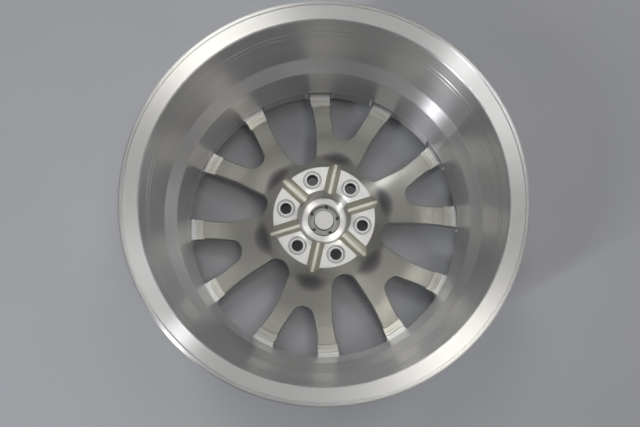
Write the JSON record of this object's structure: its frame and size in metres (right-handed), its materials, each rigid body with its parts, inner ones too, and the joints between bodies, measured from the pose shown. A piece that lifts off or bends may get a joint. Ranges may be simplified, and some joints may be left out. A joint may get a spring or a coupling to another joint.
{
  "type": "forged alloy road wheel",
  "caption": "Forged aluminium road wheel with forked spokes, a grooved stud-mounting hub and a snap-in centre cap, seen and laid with its vehicle side up",
  "frame": {"origin": "centre of the hub mounting face, where the wheel meets the vehicle hub", "axes": "+Z out of the mounting face along the wheel axis towards the vehicle, +X along the middle of one forked spoke; the street side points down"},
  "size_m": [0.5934, 0.5933, 0.2666],
  "materials": {
    "wheel": "turned and milled forging, polished barrel, satin spokes and bright mounting face",
    "centre_cap": "silver moulded plastic"
  },
  "bodies": {
    "root": {"wheel": "wheel", "centre_cap": "centre_cap"}
  },
  "joints": []
}
